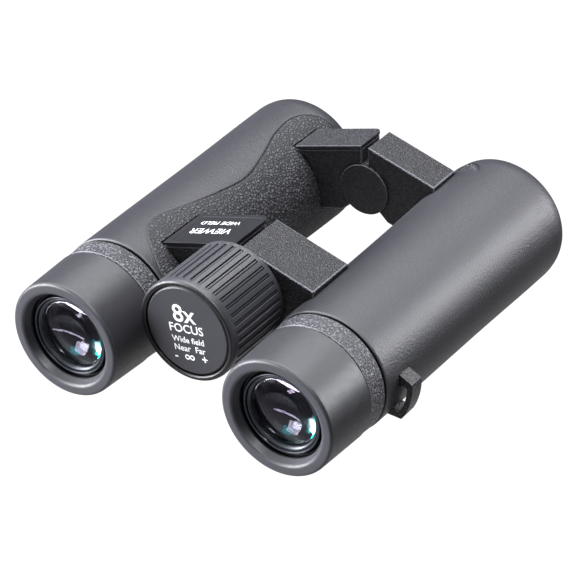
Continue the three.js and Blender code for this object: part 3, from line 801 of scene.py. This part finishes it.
def mark_grip(obj, side, loop):
    """Stores each point's distance inside the grip's edge, in millimetres, and how strongly the
    grain and the groove show there, for the material. The rear rim also gets the groove's
    near-black colour, as painted shade for the gap before the trim ring."""
    mesh = obj.data
    co = np.empty(len(mesh.vertices) * 3)
    mesh.vertices.foreach_get("co", co)
    co = co.reshape(-1, 3) / MM
    x, y, z = co[:, 0], co[:, 1] - EYE_END, co[:, 2] - AXIS_LEVEL
    angle = np.arctan2(z, AXIS_X - side * x)
    distance = np.clip(inside_distance(loop, y, angle * GRIP_SCALE), -3, 3)
    grain, groove = grip_show(side, y, np.degrees(angle))
    rim = y < JACKET_BACK + 0.07
    distance[rim], groove[rim] = 0, 1
    for key, values in (("grip", distance), ("grain", grain), ("groove", groove)):
        mesh.attributes.new(key, "FLOAT", "POINT").data.foreach_set("value", values)


# ---- strap lug


def at_barrel(side, outline):
    """An outline round a barrel's axis, with x outwards, moved to that barrel."""
    return [(side * (AXIS_X + x), z) for x, z in outline]


def lug_outline(grow=0.0):
    """The lug's outline with its feet inside the jacket. Grow widens it for cutting."""
    spread = math.degrees(grow / LUG["foot"])
    return ([(17.1, 3.05 + grow), (19.4, 2.12 + grow), (22.6, 0.4 + grow)]
            + arc(LUG["outer"] + grow, -1 + spread, -27, 14)
            + [(19.2 + grow, -11.9 - grow), (13, -11.55 - grow)]
            + arc(LUG["foot"] - grow, -41.6 - spread, 11 + spread, 14))


def lug_blank(side, grow):
    """The lug without its slot, as the hole that the jacket needs for its two feet."""
    blank = along("lug", at_barrel(side, lug_outline(grow)),
                  LUG["back"] - grow, LUG["front"] + grow)
    top, bottom = LUG["slot_top"] - 1, LUG["slot_bottom"] + 1
    between = arc(30, top, bottom, 6) + arc(10, bottom, top, 6)
    return cut(blank, along("slot", at_barrel(side, between), 20, 50))


def strap_lug(side):
    slot = rounded([(*polar(LUG["slot"], LUG["slot_top"]), 0.5), *arc(LUG["slot"], -6, -25, 8),
                    (*polar(LUG["slot"], LUG["slot_bottom"]), 0.5),
                    *arc(LUG["foot"] - 1, -30, -1, 8)])
    lug = along("lug", at_barrel(side, lug_outline()), LUG["back"], LUG["front"])
    cut(lug, along("slot", at_barrel(side, slot), LUG["back"] - CUT, LUG["front"] + CUT))
    return bevel(lug, 0.3, angle=35)


# ---- cover plates


def plate_reach(lift, radius):
    """Where a plane parallel to the arm's top meets a circle round the barrel axis."""
    level = arm_top(0, lift)
    a = 1 + ARM["slope"] ** 2
    b = AXIS_X + level * ARM["slope"]
    c = AXIS_X ** 2 + level ** 2 - radius ** 2
    return (b - math.sqrt(b * b - a * c)) / a


def cover_plate(name, y0, y1, barrel_radius, corner):
    """A thin cover on a left arm. Its far corner by the slot is rounded."""
    inner = ARM["inner"]
    levels = []
    for lift in (PLATE["proud"] - PLATE["thickness"], PLATE["proud"]):
        outer = plate_reach(lift, barrel_radius + GAP)
        corners = [(inner, y0, 0.35), (inner, y1, corner), (outer, y1, 0.3), (outer, y0, 0.3)]
        plan = rounded(corners, steps=6)
        levels.append([(-x, y, arm_top(x, lift)) for x, y in plan])
    return loft(name, levels)


def name_plate():
    """The cover on the left rear arm, with a shallow recess for its print."""
    y0, y1 = COVER_ENDS["rear"]
    plate = cover_plate("name_plate_cover", y0, y1, 19.15, CORNER["rear"])
    lift = PLATE["proud"]
    outer = plate_reach(lift, 19.45)
    plan = rounded([(2.4, y0 + 0.9, 0.3), (2.4, y1 - 1.5, 2.4), (outer - 2.2, y1 - 1.5, 0.4),
                    (outer - 2.2, y0 + 0.9, 0.4)], steps=5)
    recess = loft("recess", [[(-x, y, arm_top(x, lift + h)) for x, y in plan]
                             for h in (-PRINT_DEPTH, 0.5)])
    return bevel(cut(plate, recess), 0.18, 3, 40)


# ---- focus wheel


def wheel_grip():
    """Ribbed tyre: a turned profile whose middle rows dip into evenly spaced grooves, each with a
    low bead along its floor."""
    pitch = 2 * math.pi / WHEEL["ribs"]
    half = WHEEL["groove_width"] / 2 / WHEEL["radius"] / pitch
    # places across one pitch, from the middle of a groove to the middle of a rib, and their depths
    stations = [0, 0.4 * half, 0.75 * half, 0.92 * half, half + 0.015, half + 0.04, 0.3, 0.4, 0.5]
    dips = [0.42, 0.46, 1, 1, 0.16, 0, 0, 0, 0]
    stations = stations + [1 - s for s in stations[-2:0:-1]]
    dips = dips + dips[-2:0:-1]
    front, back, lip = WHEEL["rib_front"], WHEEL["rib_back"], WHEEL["radius"]
    outline = rounded([(13.9, 10, 0.15), (14.3, 9.7, 0.3), (14.9, 9.7, 0.5), (15.4, 10.1, 0.5),
                       (lip, 10.9, 0.6), (lip, 34, 0.3), (15.1, 34.5, 0.4), (13.6, 34.5, 0.1),
                       (13.6, 12.3), (13.9, 12.3)])
    profile = []
    for here, after in zip(outline, outline[1:] + outline[:1]):
        profile.append((*here, 0))
        if here[0] > lip - 0.05 and after[1] - here[1] > 10:
            ramp = [(front - 0.1, 0), (front, 0.1), (front + 0.06, 0.85), (front + 0.12, 1)]
            profile += [(lip, y, d) for y, d in ramp]
            profile += [(lip, back + front - y, d) for y, d in ramp[::-1]]
    points, rings = [], []
    for radius, y, depth in profile:
        rings.append(range(len(points), len(points) + WHEEL["ribs"] * len(stations)))
        for i in range(WHEEL["ribs"]):
            for station, dip in zip(stations, dips):
                angle = (i + 0.25 + station) * pitch
                r = radius - depth * dip * WHEEL["groove"]
                points.append((r * math.sin(angle), y, HINGE_Z + r * math.cos(angle)))
    rings.append(rings[0])
    return make("wheel_tyre", points, skin(rings))


# ---- lettering


def lettering(name, text, size, matrix, proud=0.04):
    """Printed text as a thin mesh. The matrix takes text space to the working frame."""
    curve = bpy.data.curves.new(name, "FONT")
    curve.body = text
    curve.size = size
    curve.align_x = "CENTER"
    curve.align_y = "CENTER"
    curve.extrude = proud / 2
    curve.offset = 0.011 * size
    curve.resolution_u = 3
    source = add_object(name + "_curve", curve)
    graph = bpy.context.evaluated_depsgraph_get()
    mesh = bpy.data.meshes.new_from_object(source.evaluated_get(graph))
    bpy.data.objects.remove(source)
    mesh.name = name
    to_row = Matrix.Translation(row(0, 0, 0)) @ Matrix.Scale(MM, 4)
    mesh.transform(to_row @ matrix)
    return add_object(name, mesh)


def print_on(name, lines, right, up, out, origin, body):
    """Lines of (text, size, height above the origin) printed on a flat face."""
    turn = Matrix((right, up, out)).transposed().to_4x4()
    for i, (text, size, height) in enumerate(lines):
        at = Vector(origin) + Vector(up) * height
        obj = lettering(f"{name}_{i + 1}", text, size, Matrix.Translation(at) @ turn)
        dress(obj, "ink")
        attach(obj, body)


# ---- building the pieces


def halves():
    for name, side in SIDES:
        body = f"{name}_half"
        # The picked-out edge faces of these pieces get a painted highlight in their materials.
        chassis = mark_highlight_edges(casting(side), arms=True)
        chassis.name = f"{name}_chassis"
        piece(chassis, "casting", body, "casting", f"{name}_barrel_casting")
        skinned = mark_highlight_edges(jacket(side), back_of=JACKET_BACK + 0.45)
        piece(skinned, "jacket", body, "armour_rubber", f"{name}_barrel_armour")
        lug = mark_highlight_edges(strap_lug(side))
        lug.name = f"{name}_lug"
        piece(lug, "lug", body, "stippled_trim", f"{name}_strap_lug")


def bridge_trim():
    # The picked-out edge faces of the plates and the disc get a painted highlight in their
    # materials.
    piece(mark_highlight_edges(name_plate()), "name_plate", "left_half", "satin_trim", "name_plate")
    front = bevel(cover_plate("front_arm_cover", *COVER_ENDS["front"], 20.13, CORNER["front"]),
                  0.22, 3, 40)
    piece(mark_highlight_edges(front), "front_cover", "left_half", "satin_trim", "front_cover_plate")
    y0, y1 = HINGE_DISC
    profile = [(0, y0), (KNUCKLE_RADIUS, y0, 0.35), (KNUCKLE_RADIUS, y1), (0, y1)]
    disc = turned("hinge_disc", profile, 0, HINGE_Z, solid=True)
    piece(mark_highlight_edges(disc), "casting", "left_half", "stippled_trim", "front_hinge_disc")


def wheel():
    piece(wheel_grip(), "wheel", "focus_wheel", "wheel_rubber", "focus_wheel_grip")
    profile = [(0, 10), (13.1, 10, 0.2), (13.6, 10.45, 0.2), (13.6, 11.2), (0, 11.2)]
    cap = turned("wheel_cap", profile, 0, HINGE_Z, solid=True)
    piece(cap, "cap", "focus_wheel", "satin_trim", "focus_wheel_cap")
    lines = [("8x", 7.6, 5.0), ("FOCUS", 3.7, 0.5), ("Wide field", 2.6, -3.0),
             ("Near  Far", 2.7, -5.7), ("-  ∞  +", 3.9, -8.4)]
    turn = math.radians(9)
    right = (math.cos(turn), 0, math.sin(turn))
    up = (-math.sin(turn), 0, math.cos(turn))
    print_on("cap_print", lines, right, up, (0, -1, 0), (-0.2, 9.99, HINGE_Z), "focus_wheel")


def plate_print():
    slope = math.atan(ARM["slope"])
    right = (-math.cos(slope), 0, -math.sin(slope))
    up = (0, -1, 0)
    out = (-math.sin(slope), 0, math.cos(slope))
    x = 14.9
    origin = (-x, 45.2, arm_top(x, PLATE["proud"] - PRINT_DEPTH))
    lines = [("VIEWER", 4.3, 2.3), ("WIDE FIELD", 2.7, -2.7)]
    print_on("plate_print", lines, right, up, out, origin, "left_half")


def threads(radius, y0, y1, depth=0.35):
    """Fine ridges down the inside of a tube, from y0 back to y1, that kill stray light."""
    places = np.linspace(y0, y1, 13)
    return [(radius + (depth if i % 2 else 0), y) for i, y in enumerate(places)]


def turned_pieces():
    """Every round piece of the eyepieces and objectives: node, material, slot, body, profile."""
    for name, side in SIDES:
        half = f"{name}_half"
        ocular, ring, trim = ((half, half, "trim_ring") if side < 0 else
                              ("right_ocular", "dioptre_ring", "dioptre_ring"))
        rows = [
            ("eyecup_rubber", "cup", "eyecup_rubber", f"{name}_eyecup",
             [(14.5, 0, 1.4), (17.72, 0, 1.0), (18.4, 18.3, 0.25), (16.6, 18.3), (16.6, 3),
              (13.3, 3, 0.2), (13.3, 2.3, 0.2)]),
            ("eyecup_core", "black", "black_metal", f"{name}_eyecup",
             [(15.2, 3.3), (16.3, 3.3), (16.3, 16.8), (15.2, 16.8)]),
            ("eyecup_cam_sleeve", "satin", "satin_trim", f"{name}_eyecup_cam",
             [(13.9, 4.4, 0.15), (14.85, 4.4, 0.15), (14.85, 18.3), (13.9, 18.3)]),
            ("eyepiece_tube", "black", "black_metal", half,
             [(12.6, 3.6, 0.2), (13.6, 3.6, 0.2), (13.6, 26), (15.1, 26), (15.1, 31.2),
              (12.6, 31.2)]),
            ("ocular_cell", "baffle", "black_metal", ocular,
             [(11, 4.5), (12.3, 4.5), (12.3, 24.4), (11, 24.4), (11, 13.2), (9.7, 13.2),
              *threads(9.7, 13, 9.6), (9.7, 9.4), (11, 9.4)]),
            ("ocular_bezel", "bezel", "black_metal", ocular,
             [(10.4, 3.5, 0.15), (10.9, 3.05, 0.25), (11.3, 3.15, 0.1), (11.4, 3.5, 0.05),
              (11.5, 3.5, 0.05), (11.6, 2.55, 0.2), (12.2, 2.6, 0.25), (12.2, 4.2), (10.4, 4.2)]),
            ("field_stop", "baffle", "black_metal", ocular,
             [(8.2, 22.3), (10.7, 22.3), (10.7, 23), (8.2, 23)]),
            ("objective_cell", "baffle", "black_metal", half,
             [(15.7, 104.2), (17.7, 104.2), (17.7, 115.2), (17.15, 115.2), (17.15, 105.6),
              (15.7, 105.6)]),
            (trim, "stipple", "stippled_trim", ring,
             [(13.95, 18.7), (18.2, 18.7, 0.4), (18.5, 25.15, 0.5), (13.95, 25.15)]),
        ]
        # Faces picked out for a painted edge highlight on the eyecup rims and the trim rings.
        edge_highlight_marks = {"eyecup_rubber": {"back_of": 1.6, "slant": (0.22, 1.1)}, trim: {}}
        for node, material, slot, body, profile in rows:
            obj = turned(f"{name}_{node}_turned", profile, side * AXIS_X, sides=128)
            if node in edge_highlight_marks:
                mark_highlight_edges(obj, **edge_highlight_marks[node])
            piece(obj, material, body, slot, f"{name}_{node}")
        retainer(name, side)
        lenses(name, side, half, ocular)


def retainer(name, side):
    """The ring that holds the objective, with two notches for its spanner."""
    x = side * AXIS_X
    profile = [(16.4, 115.5), (17.7, 115.5), (17.7, 118.8), (16.4, 118.8, 0.3)]
    ring = turned(f"{name}_retainer", profile, x, sides=128)
    corners = ((-1, -0.8), (1, -0.8), (1, 0.8), (-1, 0.8))
    notches = [along("notch", [(x + e * 16.9 + a, b) for a, b in corners], 118.1, 119.5)
               for e in (-1, 1)]
    piece(cut(ring, *notches), "black", f"{name}_half", "black_metal",
          f"{name}_objective_retaining_ring")


def lenses(name, side, half, ocular):
    x = side * AXIS_X
    rows = [
        ("field_lens", 10.7, (15.6, 12.9), (17.4, 18.8), "field_glass", ocular),
        ("objective_flint_lens", 16.9, (106.1, 105.7), (108.9, 107.4), "objective_glass", half),
        ("objective_crown_lens", 16.9, (109.2, 107.7), (112.8, 115), "objective_glass", half),
    ]
    for node, radius, back, front, material, body in rows:
        obj = lens(f"{name}_{node}_ground", radius, back, front, x)
        piece(obj, material, body, "glass", f"{name}_{node}", sharp=50)
    profile = (dome(9.8, 4.6, 3.9, True, 40) + [(10.2, 4.75), (10.5, 5.1), (10.7, 5.6)]
               + dome(10.7, 7, 9.9, False, 40))
    obj = turned(f"{name}_eye_lens_ground", profile, x, 0, 256, solid=True)
    piece(obj, "eye_glass", ocular, "glass", f"{name}_eye_lens", sharp=50)


HIDDEN = {"black_metal": "black", "bright_steel": "steel", "brass": "brass", "glass": "prism_glass",
          "satin_trim": "satin", "stippled_trim": "stipple", "casting": "casting"}


def dress_frame():
    """Gives each CAD node that stays in view the material of its slot."""
    slots = {part["node"]: part["material_slot"] for part in frame["record"]["subparts"]}
    for node, obj in frame["nodes"].items():
        if not obj.hide_render:
            dress(obj, HIDDEN[slots[node]])


# ---- studio


def area_light(name, at, size, power, diffuse=False, only_on=(), colour=(0.955, 0.965, 1.0),
               aim=(0, 0, 0.02)):
    """A soft light that faces aim. It shows in the gloss alone unless diffuse is set, and can light
    some pieces only. Places and sizes are in metres, and power is in watts."""
    data = bpy.data.lights.new(name, "AREA")
    data.shape = "RECTANGLE"
    data.size, data.size_y = size
    data.energy = power
    data.color = colour
    light = add_object(name, data)
    light.location = at
    light.rotation_euler = (Vector(aim) - Vector(at)).to_track_quat("-Z", "Y").to_euler()
    light.visible_diffuse = diffuse
    if only_on:
        lit = bpy.data.collections.new(name + "_pieces")
        for obj in only_on:
            lit.objects.link(obj)
        light.light_linking.receiver_collection = lit


def pale_floor():
    """A matt floor that gleams in what lies on it. It is clear to the camera, which sees the white
    room through it, and to the lamps, so a barrel folded down past it is still lit and seen."""
    n = Nodes("pale_floor", 0.95, specular=0.0)
    ray = n.add("LightPath").outputs
    mirrored = ray["Is Glossy Ray"]
    clear = n.math("ADD", ray["Is Camera Ray"], ray["Is Shadow Ray"], clamp=True)
    n.put(n.shader.inputs["Alpha"], n.math("SUBTRACT", 1.0, clear))
    n.colour(n.blend(mirrored, (0.16, 0.16, 0.17), (0.07, 0.07, 0.075)))
    n.shader.inputs["Emission Color"].default_value = (1, 1, 1, 1)
    incoming = n.add("SeparateXYZ", Vector=n.add("NewGeometry").outputs["Incoming"]).outputs
    steep = n.spread(incoming["Z"], 0.46, 0.74, 0, 0.6, smooth=True)
    n.put(n.shader.inputs["Emission Strength"], n.math("MULTIPLY", mirrored, steep))
    span = 2500
    corners = [(-span, -span), (span, -span), (span, span), (-span, span)]
    floor = make("floor", [(x, y, -AXIS_LEVEL - 0.05) for x, y in corners], [(0, 1, 2, 3)])
    floor.data.materials.append(n.material)


def studio():
    """A large soft light overhead, a smaller one in front on the left, four that only show in the
    gloss, what the coated lenses mirror, and a dim room that looks white to the camera."""
    pale_floor()
    pieces = [obj for obj in scene.objects if obj.type == "MESH"]
    others = [obj for obj in pieces
              if not obj.name.endswith(("_chassis", "_disc", "_lug", "_cover"))]
    right = [obj for obj in pieces
             if obj.name.startswith("right_") and not obj.name.endswith("_chassis")]
    glass = [obj for obj in pieces if obj.name.endswith("_ground")]
    area_light("overhead", (-0.15, 0.30, 0.95), (1.2, 1.0), 26, diffuse=True)
    area_light("front_left", (-1.0, -0.72, 0.2), (0.8, 0.45), 45, diffuse=True, only_on=others)
    area_light("behind_right", (0.80, 0.82, 0.30), (0.4, 0.4), 15, only_on=right)
    area_light("behind_high", (0.50, 0.84, 0.74), (0.4, 0.4), 4, only_on=right)
    area_light("edges_left", (-0.95, -0.47, 0.65), (0.2, 0.2), 6)
    area_light("edges_above", (0.43, -0.58, 0.94), (0.25, 0.25), 12)
    area_light("window", (-1.3, -1.0, 0.62), (1.9, 1.1), 80, only_on=glass)
    area_light("coating_gleam", (-0.42, -0.91, 0.67), (0.6, 0.5), 5, only_on=glass,
               colour=(0.02, 1.0, 0.9))
    area_light("table_gleam", (-0.035, -0.130, 0.002), (0.17, 0.036), 0.6, only_on=glass,
               colour=(1.0, 0.93, 1.0), aim=(-0.035, -0.130, 1))
    world = bpy.data.worlds.new("studio")
    world.use_nodes = True
    nodes, links = world.node_tree.nodes, world.node_tree.links
    ray = nodes.new("ShaderNodeLightPath")
    room = nodes["Background"]
    room.inputs["Color"].default_value = (0.86, 0.88, 1.0, 1)
    room.inputs["Strength"].default_value = 0.045
    white = nodes.new("ShaderNodeBackground")
    white.inputs["Color"].default_value = (1, 1, 1, 1)
    white.inputs["Strength"].default_value = 1.1
    mix = nodes.new("ShaderNodeMixShader")
    links.new(ray.outputs["Is Camera Ray"], mix.inputs["Fac"])
    links.new(room.outputs[0], mix.inputs[1])
    links.new(white.outputs[0], mix.inputs[2])
    links.new(mix.outputs[0], nodes["World Output"].inputs["Surface"])
    scene.world = world
    scene.view_settings.view_transform = "Standard"


halves()
bridge_trim()
wheel()
plate_print()
turned_pieces()
dress_frame()
studio()
